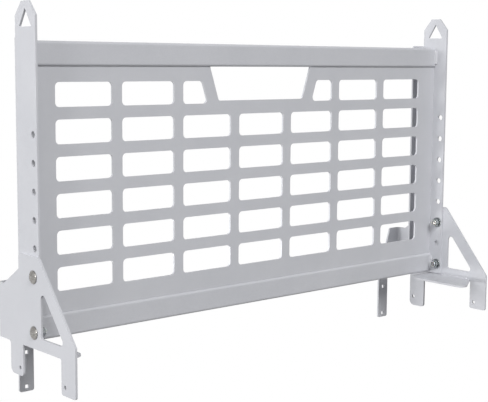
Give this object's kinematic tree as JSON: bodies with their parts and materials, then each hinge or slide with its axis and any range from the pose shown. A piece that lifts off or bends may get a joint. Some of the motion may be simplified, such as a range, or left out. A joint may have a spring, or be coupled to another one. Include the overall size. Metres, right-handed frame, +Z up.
{
  "type": "headache rack",
  "caption": "Truck bed headache rack: a slotted panel between rails and pointed uprights, on bolted brackets that sit on the bed rails. It guards the cab's rear window.",
  "frame": {"origin": "on the centre line, in the plane of the panel's front face, level with the undersides of the two shelves that sit on the bed rails", "axes": "+X across the truck, to the right when facing the braced side; +Y away from the braced side; +Z up"},
  "size_m": [1.2822, 0.3122, 0.829],
  "materials": {
    "powder_coat": "satin grey powder coat",
    "coated_weld": "satin grey powder coat over weld",
    "bolt_steel": "bright stainless steel",
    "zinc_plate": "blue-white zinc plate"
  },
  "bodies": {
    "root": {"mesh_panel": "powder_coat", "top_rail": "powder_coat", "bottom_rail": "powder_coat", "left_upright": "powder_coat", "right_upright": "powder_coat", "left_bracket": "powder_coat", "right_bracket": "powder_coat", "left_rail_shelf": "powder_coat", "right_rail_shelf": "powder_coat", "left_shelf_weld": "coated_weld", "right_shelf_weld": "coated_weld", "left_top_corner_weld": "coated_weld", "right_top_corner_weld": "coated_weld", "left_bottom_corner_weld": "coated_weld", "right_bottom_corner_weld": "coated_weld", "left_side_seam_weld": "coated_weld", "right_side_seam_weld": "coated_weld", "bottom_seam_weld": "coated_weld", "top_seam_weld": "coated_weld", "left_lower_bolt": "bolt_steel", "left_lower_washer": "zinc_plate", "left_lower_lock_nut": "zinc_plate", "left_upper_bolt": "bolt_steel", "left_upper_washer": "zinc_plate", "left_upper_lock_nut": "zinc_plate", "right_lower_bolt": "bolt_steel", "right_lower_washer": "zinc_plate", "right_lower_lock_nut": "zinc_plate", "right_upper_bolt": "bolt_steel", "right_upper_washer": "zinc_plate", "right_upper_lock_nut": "zinc_plate"}
  },
  "joints": []
}
